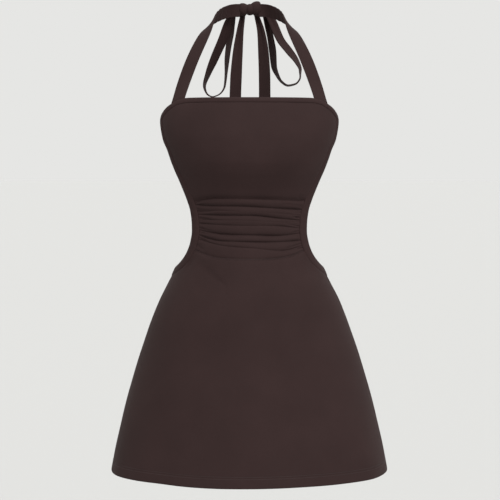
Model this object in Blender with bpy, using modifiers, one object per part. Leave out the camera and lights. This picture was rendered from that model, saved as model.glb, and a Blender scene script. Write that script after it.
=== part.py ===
"""Halter dress of stretch jersey, filled out as if worn, with no wearer.

Each cut piece of cloth is one closed wall. The panels and bands lie on one filled-out form: a stack of
oval sections whose half width, front depth and back depth follow the height. A place on the form is an
angle (0 at centre front, 90 at the right side, 180 at centre back) and a height above the hem. The origin
is the nape, where the neck holds the tied straps up. +Z is up and the front faces -Y.
"""
import math

import bmesh
import bpy
import numpy as np
from mathutils import Vector

# Driving sizes, in metres. Heights are above the hem.
NECKLINE_HEIGHT = 0.632
WAIST_HEIGHT = 0.4125
HOLD_HEIGHT = 0.786
NAPE_BEHIND_SIDES = 0.070
SEAM_GAP = 0.0003

PANEL_WALL = 0.0016
BAND_WALL = 0.0024
BAND_PROUD = 0.0004
STRAP_WALL = 0.0020
STRAP_WIDTH = 0.0225
TIE_WALL = 0.0016

# The form's sections: height, half width, front depth, back depth.
SECTIONS = (
    (0.650, 0.1400, 0.078, 0.086),
    (0.632, 0.1450, 0.088, 0.092),
    (0.610, 0.1515, 0.102, 0.098),
    (0.590, 0.1530, 0.113, 0.102),
    (0.563, 0.1500, 0.123, 0.104),
    (0.545, 0.1455, 0.125, 0.103),
    (0.528, 0.1415, 0.1235, 0.101),
    (0.511, 0.1368, 0.118, 0.098),
    (0.4945, 0.1320, 0.110, 0.095),
    (0.4775, 0.1275, 0.102, 0.092),
    (0.4605, 0.1235, 0.096, 0.089),
    (0.4435, 0.1205, 0.092, 0.086),
    (0.4125, 0.1185, 0.090, 0.085),
    (0.392, 0.1188, 0.092, 0.087),
    (0.375, 0.1200, 0.095, 0.090),
    (0.363, 0.1215, 0.098, 0.093),
    (0.352, 0.1243, 0.101, 0.096),
    (0.341, 0.1282, 0.105, 0.100),
    (0.324, 0.1364, 0.111, 0.106),
    (0.290, 0.1536, 0.121, 0.117),
    (0.2555, 0.1674, 0.129, 0.126),
    (0.221, 0.1795, 0.136, 0.134),
    (0.187, 0.1908, 0.142, 0.141),
    (0.118, 0.2108, 0.154, 0.153),
    (0.0486, 0.2274, 0.165, 0.164),
    (0.000, 0.2371, 0.172, 0.170),
    (-0.010, 0.2391, 0.1735, 0.1715),
)

# Soft flares of the skirt: angle, spread, how far it stands out at the hem, height where it begins.
FLARES = (
    (-67, 12, 0.0030, 0.26),
    (-39, 9, -0.0040, 0.20),
    (-14, 13, 0.0022, 0.20),
    (22, 12, -0.0022, 0.22),
    (58, 11, 0.0040, 0.24),
    (104, 12, -0.0030, 0.24),
    (130, 13, 0.0045, 0.26),
    (157, 11, -0.0040, 0.24),
    (180, 11, 0.0035, 0.24),
    (205, 11, -0.0040, 0.24),
    (231, 13, 0.0045, 0.26),
    (257, 11, -0.0030, 0.24),
)

# Free edge of the binding where it shows from the front: height, half width, width of the binding.
FRONT_EDGE = (
    (0.6320, 0.0000, 0.0095),
    (0.6320, 0.0360, 0.0095),
    (0.6320, 0.0720, 0.0095),
    (0.6318, 0.1000, 0.0095),
    (0.6290, 0.1180, 0.0095),
    (0.6225, 0.1300, 0.0096),
    (0.6172, 0.1376, 0.0097),
    (0.6100, 0.1443, 0.0099),
    (0.6035, 0.1482, 0.0101),
    (0.5950, 0.1500, 0.0104),
    (0.5824, 0.1490, 0.0108),
    (0.5627, 0.1450, 0.0114),
    (0.5450, 0.1374, 0.0120),
    (0.5280, 0.1315, 0.0126),
    (0.5110, 0.1248, 0.0133),
    (0.4945, 0.1175, 0.0140),
    (0.4775, 0.1105, 0.0147),
    (0.4605, 0.1040, 0.0153),
    (0.4435, 0.0990, 0.0157),
    (0.4265, 0.0968, 0.0160),
    (0.4100, 0.0964, 0.0160),
    (0.3920, 0.0992, 0.0160),
    (0.3750, 0.1052, 0.0160),
    (0.3630, 0.1124, 0.0160),
    (0.3530, 0.1205, 0.0158),
)

# The same edge on round the back: height, angle, width of the binding.
BACK_EDGE = (
    (0.3465, 88, 0.0155),
    (0.3400, 103, 0.0150),
    (0.3340, 122, 0.0150),
    (0.3285, 143, 0.0150),
    (0.3250, 163, 0.0150),
    (0.3240, 180, 0.0150),
)
STRAP_FOOT_INNER = 0.1073
STRAP_FOOT_OUTER = 0.1301
PANEL_CORNER_HEIGHT = 0.6125
EDGE_SAMPLES = 240

# Gathers of the waist, top to bottom. Heights are above the waist line at five places across the panel,
# from the left band to the right band, and depths are of the trough at the left, middle and right.
GATHER_PLACES = (-1.0, -0.45, 0.0, 0.52, 1.0)
GATHERS = (
    ("under_bust", (47, 53, 52, 50, 48), (3.2, 3.0, 3.2)),
    ("upper", (41, 40, 39, 36, 32.5), (2.8, 2.6, 2.8)),
    ("upper_left_short", (31.5, 32.5, 31.5, 28, 24), (2.4, 0.0, 1.2)),
    ("above_waist", (25, 25, 24.5, 20, 15.5), (3.0, 2.8, 2.6)),
    ("waist_left_short", (18, 17, 16.5, 14, 9), (2.4, 0.3, 1.0)),
    ("waist", (11, 8.7, 8.3, 7, 2.8), (2.6, 1.0, 2.4)),
    ("below_waist", (-0.5, -5.9, -7.3, -8.1, -5.6), (2.6, 3.2, 3.0)),
    ("lower", (-8.1, -17.5, -18.2, -18.8, -17.4), (2.8, 2.8, 2.8)),
    ("lowest", (-15, -25, -28, -33, -25.5), (2.6, 1.4, 2.8)),
    ("over_skirt", (-34, -45, -46.5, -44, -33.5), (2.2, 1.4, 2.2)),
)
GATHER_SHARPNESS = 1.6
GATHER_STEPS = (0.0, 0.24, 0.5, 0.76)
NARROW_GATHER_STEPS = (0.0, 0.36, 0.68)
NARROW_GATHERS = ("upper", "upper_left_short", "above_waist", "waist_left_short", "lower")

# Straps: half width of the place from the middle, how far behind the side seams, height, lean of the
# strap's width from the crosswise direction towards the back, in degrees.
STRAP_FOOT_LEAN = 38
STRAP_FOOT_STEPS = 8
STRAP_ROUTE = (
    (0.1112, -0.0430, 0.6530, 20),
    (0.0950, -0.0270, 0.6980, 24),
    (0.0819, -0.0120, 0.7280, 30),
    (0.0722, 0.0020, 0.7480, 40),
    (0.0645, 0.0180, 0.7625, 55),
    (0.0560, 0.0370, 0.7730, 70),
    (0.0440, 0.0550, 0.7810, 85),
    (0.0310, 0.0668, 0.7856, 90),
    (0.0240, 0.0696, 0.7863, 90),
    (0.0184, 0.0712, 0.7865, 90),
)

# Bow knot: centre and size.
KNOT_CENTRE = (0.000, 0.0785, 0.7895)
KNOT_SIZE = (0.036, 0.024, 0.027)
KNOT_ROUNDING = 0.0055

# Bow loops: x, how far behind the side seams, height, turn of the ribbon from edge-on in degrees, width.
LOOP_LEFT = (
    (-0.0190, 0.0795, 0.7863, 90, 0.0080),
    (-0.0245, 0.0805, 0.7863, 76, 0.0100),
    (-0.0330, 0.0865, 0.7740, 66, 0.0150),
    (-0.0420, 0.0895, 0.7480, 52, 0.0200),
    (-0.0608, 0.0930, 0.7050, 38, 0.0200),
    (-0.0719, 0.0950, 0.6790, 24, 0.0200),
    (-0.0783, 0.0970, 0.6570, 10, 0.0200),
    (-0.0740, 0.0990, 0.6440, 3, 0.0200),
    (-0.0650, 0.1000, 0.6390, 2, 0.0200),
    (-0.0530, 0.1010, 0.6430, 4, 0.0200),
    (-0.0440, 0.1020, 0.6560, 8, 0.0200),
    (-0.0413, 0.1030, 0.6810, 12, 0.0200),
    (-0.0395, 0.1040, 0.7040, 22, 0.0200),
    (-0.0350, 0.1035, 0.7400, 36, 0.0190),
    (-0.0310, 0.1015, 0.7640, 60, 0.0140),
    (-0.0275, 0.0965, 0.7800, 72, 0.0100),
    (-0.0240, 0.0856, 0.7848, 84, 0.0070),
    (-0.0188, 0.0852, 0.7850, 90, 0.0060),
)
LOOP_RIGHT = (
    (0.0188, 0.0795, 0.7884, 90, 0.0080),
    (0.0250, 0.0805, 0.7883, 76, 0.0100),
    (0.0360, 0.0865, 0.7760, 64, 0.0150),
    (0.0555, 0.0910, 0.7360, 42, 0.0200),
    (0.0682, 0.0920, 0.7200, 38, 0.0200),
    (0.0836, 0.0940, 0.6990, 24, 0.0200),
    (0.0893, 0.0955, 0.6850, 14, 0.0200),
    (0.0895, 0.0970, 0.6730, 6, 0.0200),
    (0.0820, 0.0985, 0.6610, 3, 0.0200),
    (0.0680, 0.0995, 0.6578, 3, 0.0200),
    (0.0560, 0.1005, 0.6650, 6, 0.0200),
    (0.0490, 0.1015, 0.6760, 14, 0.0200),
    (0.0428, 0.1025, 0.6920, 26, 0.0200),
    (0.0405, 0.1030, 0.7180, 32, 0.0200),
    (0.0370, 0.1015, 0.7400, 38, 0.0180),
    (0.0320, 0.1010, 0.7640, 58, 0.0140),
    (0.0275, 0.0960, 0.7800, 72, 0.0100),
    (0.0240, 0.0856, 0.7863, 84, 0.0070),
    (0.0188, 0.0852, 0.7865, 90, 0.0060),
)

# Free ends of the tie: x, how far behind the side seams, height, width.
TAIL_LEFT = (
    (-0.0125, 0.0830, 0.7756, 0.010),
    (-0.0165, 0.0850, 0.7500, 0.013),
    (-0.0208, 0.0870, 0.7100, 0.018),
    (-0.0235, 0.0885, 0.6700, 0.020),
    (-0.0248, 0.0895, 0.6300, 0.020),
    (-0.0255, 0.0900, 0.5700, 0.020),
    (-0.0258, 0.0900, 0.5200, 0.020),
    (-0.0260, 0.0900, 0.4760, 0.020),
)
TAIL_RIGHT = (
    (0.0135, 0.0830, 0.7756, 0.010),
    (0.0205, 0.0850, 0.7500, 0.014),
    (0.0248, 0.0870, 0.7100, 0.019),
    (0.0265, 0.0885, 0.6700, 0.020),
    (0.0268, 0.0895, 0.6300, 0.020),
    (0.0270, 0.0900, 0.5700, 0.020),
    (0.0272, 0.0900, 0.5200, 0.020),
    (0.0272, 0.0900, 0.4640, 0.020),
)

# Grid sizes: columns across and rows down each wall.
FRONT_COLUMNS = 28
EDGE_CROWDING = 1.35
BODICE_STEPS = 10
HIP_STEPS = 4
SKIRT_STEPS = 9
SKIRT_STEP_GROWTH = 1.14
BACK_COLUMNS = 26
BACK_STEPS = 9
STRAP_STEPS = 26
LOOP_STEPS = 44
TAIL_STEPS = 14

JERSEY_COLOUR = (0.042, 0.024, 0.023, 1.0)


def smooth_through(stations, values):
    """A smooth function through the values at the stations, with no overshoot between them."""
    x = np.asarray(stations, float)
    y = np.asarray(values, float)
    if x[0] > x[-1]:
        x = x[::-1]
        y = y[::-1]
    step = np.diff(x)
    rise = np.diff(y) / step
    slope = np.zeros(len(x))
    slope[0] = rise[0]
    slope[-1] = rise[-1]
    for i in range(1, len(x) - 1):
        if rise[i - 1] * rise[i] > 0:
            weight_a = 2 * step[i] + step[i - 1]
            weight_b = step[i] + 2 * step[i - 1]
            slope[i] = (weight_a + weight_b) / (weight_a / rise[i - 1] + weight_b / rise[i])

    def value(at):
        at = min(max(at, x[0]), x[-1])
        i = int(min(max(np.searchsorted(x, at) - 1, 0), len(step) - 1))
        t = (at - x[i]) / step[i]
        near = (1 + 2 * t) * (1 - t) ** 2 * y[i] + t * (1 - t) ** 2 * step[i] * slope[i]
        far = t * t * (3 - 2 * t) * y[i + 1] + t * t * (t - 1) * step[i] * slope[i + 1]
        return near + far

    return value


def column(table, index):
    return [row[index] for row in table]


half_width_at = smooth_through(column(SECTIONS, 0), column(SECTIONS, 1))
front_depth_at = smooth_through(column(SECTIONS, 0), column(SECTIONS, 2))
back_depth_at = smooth_through(column(SECTIONS, 0), column(SECTIONS, 3))


def flare(angle, height):
    """How far the skirt's flutes stand out at an angle in degrees and a height."""
    total = 0.0
    for middle, spread, stand_out, begins in FLARES:
        away = (angle - middle + 180) % 360 - 180
        fade = min(max(1 - height / begins, 0), 1)
        total += stand_out * fade ** 1.5 * math.exp(-(away / spread) ** 2)
    return total


def form_point(angle, height):
    """The place on the filled-out form, measured from the side seams' plane and the hem."""
    turn = math.radians(angle)
    depth = front_depth_at(height) if math.cos(turn) >= 0 else back_depth_at(height)
    point = Vector((half_width_at(height) * math.sin(turn), -depth * math.cos(turn), height))
    outward = Vector((math.sin(turn), -math.cos(turn), 0))
    return point + outward * flare(angle, height)


def form_normal(angle, height):
    """The outward direction of the form."""
    across = form_point(angle + 0.5, height) - form_point(angle - 0.5, height)
    upward = form_point(angle, height + 0.002) - form_point(angle, height - 0.002)
    return across.cross(upward).normalized()


def place(point):
    """From the side seams' plane and the hem to the nape, the part's origin."""
    return Vector((point[0], point[1] - NAPE_BEHIND_SIDES, point[2] - HOLD_HEIGHT))


class EdgeRoute:
    """The binding's free edge on the right half, from centre front to centre back, by its length."""

    def __init__(self):
        places = []
        for height, half_width, width in FRONT_EDGE:
            angle = math.degrees(math.asin(half_width / half_width_at(height)))
            places.append((angle, height, width))
        for height, angle, width in BACK_EDGE:
            places.append((angle, height, width))
        points = [form_point(angle, height) for angle, height, width in places]
        lengths = [0.0]
        for a, b in zip(points, points[1:]):
            lengths.append(lengths[-1] + (b - a).length)
        self.length = lengths[-1]
        self.angle = smooth_through(lengths, column(places, 0))
        self.height = smooth_through(lengths, column(places, 1))
        self.width = smooth_through(lengths, column(places, 2))
        self.samples = np.linspace(0, self.length, EDGE_SAMPLES)
        self.seam_places = [self.seam(along, SEAM_GAP) for along in self.samples]

    def edge(self, along):
        return self.angle(along), self.height(along)

    def inside(self, along, distance):
        """The angle and height a distance in from the free edge, square to it, on the form."""
        step = 0.003
        before = max(along - step, 0)
        after = min(along + step, self.length)
        run = form_point(*self.edge(after)) - form_point(*self.edge(before))
        angle, height = self.edge(along)
        inward = run.cross(form_normal(angle, height)).normalized() * distance
        across = form_point(angle + 0.5, height) - form_point(angle - 0.5, height)
        upward = (form_point(angle, height + 0.002) - form_point(angle, height - 0.002)) / 0.004
        system = np.array([across, upward]).T
        shift = np.linalg.lstsq(system, np.array(inward), rcond=None)[0]
        return angle + shift[0], height + shift[1]

    def seam(self, along, extra=0.0):
        """Where the panel is sewn on, at the binding's full width."""
        return self.inside(along, self.width(along) + extra)

    def length_where(self, readings, target):
        """The length along the edge at which the readings at its samples first pass a target."""
        past = [reading >= target for reading in readings]
        i = past.index(True)
        share = (target - readings[i - 1]) / (readings[i] - readings[i - 1])
        return self.samples[i - 1] + (self.samples[i] - self.samples[i - 1]) * share

    def length_at_half_width(self, half_width):
        return self.length_where([form_point(*self.edge(t)).x for t in self.samples], half_width)

    def length_at_drop(self, height):
        return self.length_where([-self.height(t) for t in self.samples], -height)

    def length_at_seam_height(self, height):
        return self.length_where([-place[1] for place in self.seam_places], -height)

    def length_at_seam_angle(self, angle):
        """Where the seam passes an angle on its way round the hip."""
        return self.length_where([place[0] for place in self.seam_places], angle)


edge_route = EdgeRoute()
STRAP_FOOT_START = edge_route.length_at_half_width(STRAP_FOOT_INNER)
STRAP_FOOT_END = edge_route.length_at_half_width(STRAP_FOOT_OUTER)
CORNER = edge_route.length_at_drop(PANEL_CORNER_HEIGHT)
HIP_CORNER = edge_route.length_at_seam_angle(90)


def wall_from_grid(name, rows, wall, closed_on_itself=False):
    """A closed wall of cloth: a grid bent onto the rows of points, given its thickness inwards."""
    cloth = bmesh.new()
    lines = len(rows)
    places = len(rows[0])
    bmesh.ops.create_grid(cloth, x_segments=places - 1, y_segments=lines - 1, size=0.5)
    for vertex in cloth.verts:
        across = round((vertex.co.x + 0.5) * (places - 1))
        down = round((0.5 - vertex.co.y) * (lines - 1))
        vertex.co = rows[down][across]
    mesh = bpy.data.meshes.new(name)
    cloth.to_mesh(mesh)
    cloth.free()
    mesh.shade_smooth()
    piece = bpy.data.objects.new(name, mesh)
    piece.data.materials.append(jersey(name))
    dress.objects.link(piece)
    thickness = piece.modifiers.new("wall", "SOLIDIFY")
    thickness.thickness = wall
    thickness.offset = -1
    return piece


def jersey(name):
    """The dress's dark jersey, as this piece's own material."""
    material = bpy.data.materials.new(name + "_jersey")
    material.use_nodes = True
    shader = material.node_tree.nodes["Principled BSDF"]
    shader.inputs["Base Color"].default_value = JERSEY_COLOUR
    shader.inputs["Roughness"].default_value = 0.75
    shader.inputs["Metallic"].default_value = 0.0
    return material


def on_form(angle, height, out=0.0):
    """A placed point of the form, moved out by a distance."""
    return place(form_point(angle, height) + form_normal(angle, height) * out)


def seam_place(side, along):
    """The panel's edge beside the binding, on one side, as an angle and a height."""
    angle, height = edge_route.seam(along, SEAM_GAP)
    return np.array((side * angle, height))


def crowded(count):
    """Shares from 0 to 1 that lie closer together towards 1."""
    return [1 - (1 - i / count) ** EDGE_CROWDING for i in range(count + 1)]


def neck_lengths():
    """Lengths along the binding from centre front to the panel's corner."""
    return [CORNER * share for share in crowded(FRONT_COLUMNS // 2)]


def gather_lines():
    """The trough of each gather: its height and depth as functions of the place across the panel."""
    lines = []
    for name, rises, depths in GATHERS:
        heights = [WAIST_HEIGHT + rise * 0.001 for rise in rises]
        deep = [depth * 0.001 for depth in depths]
        lines.append((name, smooth_through(GATHER_PLACES, heights), smooth_through((-1, 0, 1), deep)))
    return lines


def gather_steps(lines):
    """Each row between the first gather's trough and the last one's: trough above, below and share."""
    for upper, lower in zip(lines, lines[1:]):
        for step in NARROW_GATHER_STEPS if upper[0] in NARROW_GATHERS else GATHER_STEPS:
            yield upper, lower, step


def side_lengths(side, lines):
    """Lengths along the binding of the panel's rows, from its corner to the hip, in three stretches."""
    top = edge_route.length_at_seam_height(lines[0][1](side))
    bodice = [CORNER + (top - CORNER) * j / BODICE_STEPS for j in range(BODICE_STEPS)]
    waist = []
    for upper, lower, step in gather_steps(lines):
        height = upper[1](side) * (1 - step) + lower[1](side) * step
        waist.append(edge_route.length_at_seam_height(height))
    start = edge_route.length_at_seam_height(lines[-1][1](side))
    hip = [start + (HIP_CORNER - start) * j / HIP_STEPS for j in range(HIP_STEPS + 1)]
    return bodice, waist, hip


def back_lengths():
    """Lengths along the binding of the back's columns, from the hip to centre back."""
    run = edge_route.length - HIP_CORNER
    return [edge_route.length - run * share for share in crowded(BACK_COLUMNS // 2)[::-1]]


def gather_row(columns, upper, lower, step, ends):
    """Angles, heights and trough depths a step of the way from one gather's trough to the next one's."""
    near = max(1 - 2 * step, 0) ** GATHER_SHARPNESS
    far = max(2 * step - 1, 0) ** GATHER_SHARPNESS
    row = []
    for across in columns:
        angle = ends[0] * (1 - across) / 2 + ends[1] * (1 + across) / 2
        height = upper[1](across) * (1 - step) + lower[1](across) * step
        row.append((angle, height, upper[2](across) * near + lower[2](across) * far))
    return row


def blended_patch(top, bottom, left, right, steps):
    """Rows of angle and height between four edges, each edge a list of places on the form."""
    rows = []
    for j, down in enumerate(steps):
        row = []
        for i in range(len(top)):
            across = i / (len(top) - 1)
            ruled = top[i] * (1 - down) + bottom[i] * down
            sides = left[j] * (1 - across) + right[j] * across
            corners = (top[0] * (1 - across) + top[-1] * across) * (1 - down)
            corners = corners + (bottom[0] * (1 - across) + bottom[-1] * across) * down
            row.append(ruled + sides - corners)
        rows.append(row)
    return rows


def build_front():
    """The front panel: bodice, gathered waist and skirt in one piece."""
    half = crowded(FRONT_COLUMNS // 2)
    columns = [-share for share in half[:0:-1]] + half
    lines = gather_lines()
    left = side_lengths(-1, lines)
    right = side_lengths(1, lines)
    neck = neck_lengths()
    neckline = [seam_place(-1, along) for along in neck[:0:-1]] + [seam_place(1, along) for along in neck]

    waist_rows = []
    for step_row, left_along, right_along in zip(gather_steps(lines), left[1], right[1]):
        ends = (seam_place(-1, left_along)[0], seam_place(1, right_along)[0])
        waist_rows.append(gather_row(columns, *step_row, ends))
    ends = (seam_place(-1, left[2][0])[0], seam_place(1, right[2][0])[0])
    last = gather_row(columns, lines[-1], lines[-1], 0.0, ends)

    steps = [j / BODICE_STEPS for j in range(BODICE_STEPS)]
    first = [np.array(place[:2]) for place in waist_rows[0]]
    sides = [[seam_place(-1, along) for along in left[0]], [seam_place(1, along) for along in right[0]]]
    bodice = blended_patch(neckline, first, sides[0], sides[1], steps)
    rows = [[on_form(angle, height) for angle, height in row] for row in bodice]
    for row in waist_rows:
        rows.append([on_form(angle, height, -depth) for angle, height, depth in row])

    hip_height = edge_route.seam(HIP_CORNER, SEAM_GAP)[1]
    growth = [SKIRT_STEP_GROWTH ** j for j in range(SKIRT_STEPS)]
    drops = [hip_height * sum(growth[:j + 1]) / sum(growth) for j in range(SKIRT_STEPS)]
    sides = []
    for side, lengths in ((-1, left[2]), (1, right[2])):
        path = [seam_place(side, along) for along in lengths]
        for drop in drops:
            height = hip_height - drop
            path.append(np.array((side * side_angle(height), height)))
        sides.append(path)
    seam_run = HIP_CORNER - (left[2][0] + right[2][0]) / 2
    whole = seam_run + hip_height
    steps = [seam_run * j / HIP_STEPS / whole for j in range(HIP_STEPS + 1)]
    steps += [(seam_run + drop) / whole for drop in drops]
    top = [np.array(place[:2]) for place in last]
    hem = [np.array((u * side_angle(0.0), 0.0)) for u in columns]
    for step, row in zip(steps, blended_patch(top, hem, sides[0], sides[1], steps)):
        fade = max(1 - step / steps[2], 0)
        points = []
        for (angle, height), low in zip(row, last):
            limit = side_angle(height)
            points.append(on_form(min(max(angle, -limit), limit), height, -low[2] * fade))
        rows.append(points)
    wall_from_grid("front", rows, PANEL_WALL)


def side_angle(height):
    """The front panel's side edge: half the seam gap short of the side."""
    return 90 - math.degrees(SEAM_GAP / 2 / front_depth_at(height))


def build_back():
    """The back of the skirt, under the open back's binding."""
    right = back_lengths()
    tops = [(1, along) for along in right] + [(-1, along) for along in right[-2::-1]]
    half = crowded(BACK_COLUMNS // 2)
    hem_angles = [180 - 90 * share for share in half[::-1]] + [180 + 90 * share for share in half[1:]]
    rows = []
    for j in range(BACK_STEPS + 1):
        down = j / BACK_STEPS
        row = []
        for (side, along), hem_angle in zip(tops, hem_angles):
            top_angle, top_height = edge_route.seam(along, SEAM_GAP)
            height = top_height * (1 - down)
            if side < 0:
                top_angle = 360 - top_angle
            angle = top_angle + (hem_angle - top_angle) * down
            gap = math.degrees(SEAM_GAP / 2 / back_depth_at(height))
            row.append(on_form(min(max(angle, 90 + gap), 270 - gap), height))
        rows.append(row)
    wall_from_grid("back", rows, PANEL_WALL)


def band_wall(name, places):
    """A stretch of the binding: its free edge, its middle and its seam, through places along it."""
    rows = []
    for inward in (0.0, 0.5, 1.0):
        row = []
        for side, along in places:
            angle, height = edge_route.inside(along, edge_route.width(along) * inward)
            row.append(on_form(side * angle, height, BAND_PROUD))
        rows.append(row)
    wall_from_grid(name, rows, BAND_WALL)


def build_neck_band():
    """The binding of the neckline, from one strap's outer foot to the other's."""
    lengths = [along for along in neck_lengths() if along < STRAP_FOOT_END - SEAM_GAP]
    lengths.append(STRAP_FOOT_END - SEAM_GAP / 2)
    places = [(-1, along) for along in lengths[:0:-1]] + [(1, along) for along in lengths]
    band_wall("neck_band", places)


def build_side_band(name, side):
    """The binding from the strap's foot, down the waist and along the open back to its centre."""
    lengths = [STRAP_FOOT_END + SEAM_GAP / 2]
    lengths += [along for along in neck_lengths()[:-1] if along > STRAP_FOOT_END + SEAM_GAP]
    bodice, waist, hip = side_lengths(side, gather_lines())
    lengths += bodice + waist + hip[:-1] + back_lengths()[:-1]
    lengths.append(edge_route.length - SEAM_GAP / 2)
    places = [(side, along) for along in lengths]
    if side < 0:
        places.reverse()
    band_wall(name, places)


def smooth_route(stations, steps, ends=(0.0, 1.0)):
    """Points read at even steps from smooth curves through a route's stations."""
    lengths = [0.0]
    for a, b in zip(stations, stations[1:]):
        lengths.append(lengths[-1] + (Vector(b[:3]) - Vector(a[:3])).length)
    curves = [smooth_through(lengths, column(stations, k)) for k in range(len(stations[0]))]
    route = []
    for i in range(steps + 1):
        along = lengths[-1] * (ends[0] + (ends[1] - ends[0]) * i / steps)
        route.append([curve(along) for curve in curves])
    return route


def build_strap(name, side):
    """A strap from its foot on the neckline's binding to the knot at the nape."""
    lengths = [STRAP_FOOT_START]
    lengths += [along for along in neck_lengths() if STRAP_FOOT_START < along < STRAP_FOOT_END]
    lengths.append(STRAP_FOOT_END)
    foot = []
    for along in lengths:
        angle, height = edge_route.inside(along, -SEAM_GAP)
        foot.append(form_point(angle, height) + form_normal(angle, height) * BAND_PROUD)
    rows = [foot]
    spread = [2 * (along - lengths[0]) / (lengths[-1] - lengths[0]) - 1 for along in lengths]
    base = (foot[0] + foot[-1]) / 2
    route = smooth_route(((*base, STRAP_FOOT_LEAN),) + STRAP_ROUTE, STRAP_STEPS)
    for i in range(1, len(route)):
        here = Vector(route[i][:3])
        before = Vector(route[i - 1][:3])
        after = Vector(route[min(i + 1, len(route) - 1)][:3])
        run = (after - before).normalized()
        lean = math.radians(route[i][3])
        outward = Vector((math.sin(lean), -math.cos(lean), 0))
        width = run.cross(outward).normalized() * STRAP_WIDTH / 2
        like_foot = max(1 - i / STRAP_FOOT_STEPS, 0) ** 1.5
        row = []
        for share, sewn in zip(spread, foot):
            row.append(here + width * share * (1 - like_foot) + (sewn - base) * like_foot)
        rows.append(row)
    placed = []
    for row in rows:
        points = [place((side * p.x, p.y, p.z)) for p in row]
        placed.append(points[::-1] if side < 0 else points)
    wall_from_grid(name, placed[::-1], STRAP_WALL)


def build_loop(name, stations):
    """A hanging loop of the bow: a ribbon seen nearly edge-on at its foot."""
    rows = []
    route = smooth_route(stations, LOOP_STEPS)
    for i, (x, behind, height, turn, width) in enumerate(route):
        before = Vector(route[max(i - 1, 0)][:3])
        after = Vector(route[min(i + 1, LOOP_STEPS)][:3])
        run = (after - before).normalized()
        square = run.cross(Vector((0, 1, 0))).normalized()
        depthwise = square.cross(run).normalized()
        twist = math.radians(turn)
        half = (depthwise * math.cos(twist) + square * math.sin(twist)) * width / 2
        middle = Vector((x, behind, height))
        rows.append([place(middle - half), place(middle), place(middle + half)])
    wall_from_grid(name, rows, TIE_WALL)


def build_tail(name, stations):
    """A free end of the tie, bunched at the knot and flat below."""
    rows = []
    for x, behind, height, width in smooth_route(stations, TAIL_STEPS):
        half = Vector((width / 2, 0, 0))
        middle = Vector((x, behind, height))
        rows.append([place(middle - half), place(middle), place(middle + half)])
    wall_from_grid(name, rows, TIE_WALL)


def build_knot():
    """The knot, a rounded lump of cloth."""
    lump = bmesh.new()
    bmesh.ops.create_cube(lump, size=1.0)
    bmesh.ops.scale(lump, vec=KNOT_SIZE, verts=lump.verts)
    bmesh.ops.bevel(
        lump, geom=lump.edges[:], offset=KNOT_ROUNDING, offset_type="OFFSET",
        segments=3, profile=0.5, affect="EDGES", material=-1,
    )
    bmesh.ops.translate(lump, vec=place(KNOT_CENTRE), verts=lump.verts)
    mesh = bpy.data.meshes.new("bow_knot")
    lump.to_mesh(mesh)
    lump.free()
    mesh.shade_smooth()
    knot = bpy.data.objects.new("bow_knot", mesh)
    knot.data.materials.append(jersey("bow_knot"))
    dress.objects.link(knot)


for leftover in list(bpy.data.objects):
    bpy.data.objects.remove(leftover, do_unlink=True)
dress = bpy.data.collections.new("halter_dress")
bpy.context.scene.collection.children.link(dress)

build_front()
build_back()
build_neck_band()
build_side_band("side_band_left", -1)
build_side_band("side_band_right", 1)
build_strap("strap_left", -1)
build_strap("strap_right", 1)
build_knot()
build_loop("bow_loop_left", LOOP_LEFT)
build_loop("bow_loop_right", LOOP_RIGHT)
build_tail("tie_end_left", TAIL_LEFT)
build_tail("tie_end_right", TAIL_RIGHT)
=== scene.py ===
"""The looks of a halter dress in dark stretch jersey, filled out as if worn, with no wearer.

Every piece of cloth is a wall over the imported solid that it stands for. A place on the dress is an angle
(0 at centre front, 90 at the right side, 180 at centre back) and a height above the hem.
"""
import math

import bmesh
import bpy
import numpy as np
from mathutils import Matrix, Vector, kdtree


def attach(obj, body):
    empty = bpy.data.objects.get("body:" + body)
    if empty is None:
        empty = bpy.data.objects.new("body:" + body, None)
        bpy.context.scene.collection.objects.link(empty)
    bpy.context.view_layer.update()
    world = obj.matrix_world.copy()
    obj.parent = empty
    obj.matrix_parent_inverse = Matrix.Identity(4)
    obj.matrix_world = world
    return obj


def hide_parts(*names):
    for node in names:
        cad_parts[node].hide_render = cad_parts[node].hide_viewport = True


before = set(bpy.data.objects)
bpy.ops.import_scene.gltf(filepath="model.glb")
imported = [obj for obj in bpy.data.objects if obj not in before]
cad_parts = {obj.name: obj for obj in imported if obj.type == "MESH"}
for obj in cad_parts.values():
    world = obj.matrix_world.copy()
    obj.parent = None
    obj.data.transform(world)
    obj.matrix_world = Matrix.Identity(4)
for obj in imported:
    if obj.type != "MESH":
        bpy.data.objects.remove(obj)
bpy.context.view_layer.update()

MM = 0.001

# Driving sizes, in metres. Heights are above the hem.
WAIST_HEIGHT = 0.4125
HOLD_HEIGHT = 0.786
NAPE_BEHIND_SIDES = 0.070
SEAM_GAP = 0.0003
PANEL_WALL = 0.0016
BINDING_WALL = 0.0024
BINDING_PROUD = 0.0004
STRAP_WALL = 0.0020
STRAP_WIDTH = 0.0225
TIE_WALL = 0.0016
RIBBON_WIDTH = 0.020

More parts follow.
